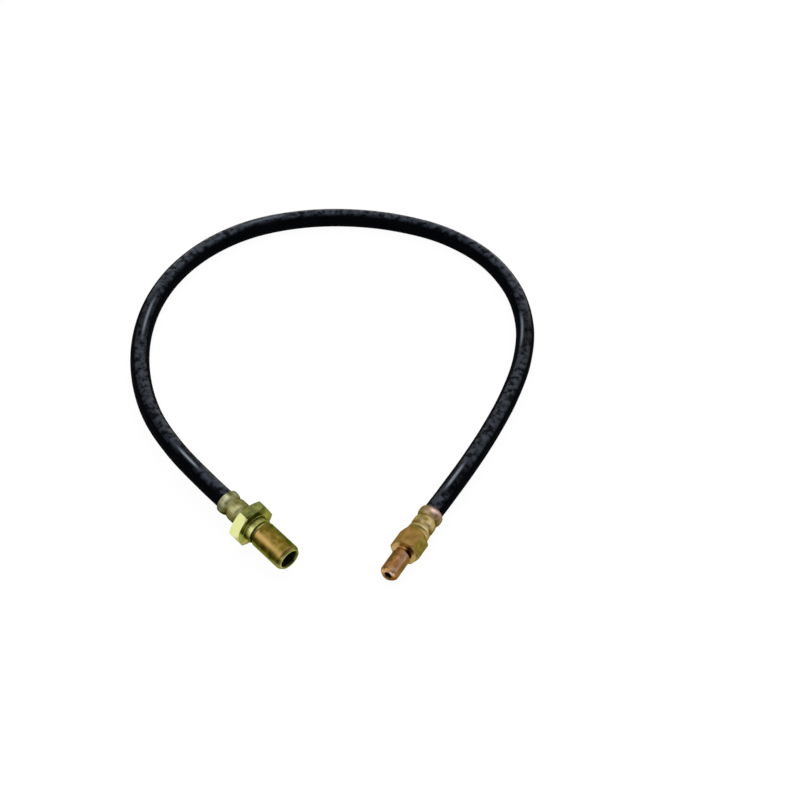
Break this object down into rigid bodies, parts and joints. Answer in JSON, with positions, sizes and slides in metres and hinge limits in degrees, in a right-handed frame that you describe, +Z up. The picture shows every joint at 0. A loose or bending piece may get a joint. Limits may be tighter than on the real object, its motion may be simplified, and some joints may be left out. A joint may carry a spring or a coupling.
{
  "type": "hydraulic hose assembly",
  "caption": "Rubber brake hose lying in an open loop, with a crimped hexagon female fitting on one end and a crimped hexagon male fitting on the other.",
  "frame": {"origin": "on the surface that the assembly lies on, midway between the two fittings in X and in Y", "axes": "-Y is the way the female port faces, +Z is up from the surface, and the hose's loop lies towards +X and +Y"},
  "size_m": [0.2655, 0.2525, 0.022],
  "materials": {
    "yellow_zinc_steel": "yellow zinc plating with a satin shine",
    "brass": "turned",
    "hose_rubber": "satin",
    "braid_yarn": "braided"
  },
  "bodies": {
    "root": {"hose_cover": "hose_rubber", "hose_outer_braid": "braid_yarn", "hose_tie_rubber": "hose_rubber", "hose_inner_braid": "braid_yarn", "hose_liner": "hose_rubber", "female_body": "yellow_zinc_steel", "female_flare_seat": "brass", "female_stem": "yellow_zinc_steel", "female_ferrule": "yellow_zinc_steel", "male_body": "yellow_zinc_steel", "male_stem": "yellow_zinc_steel", "male_ferrule": "yellow_zinc_steel"}
  },
  "joints": []
}
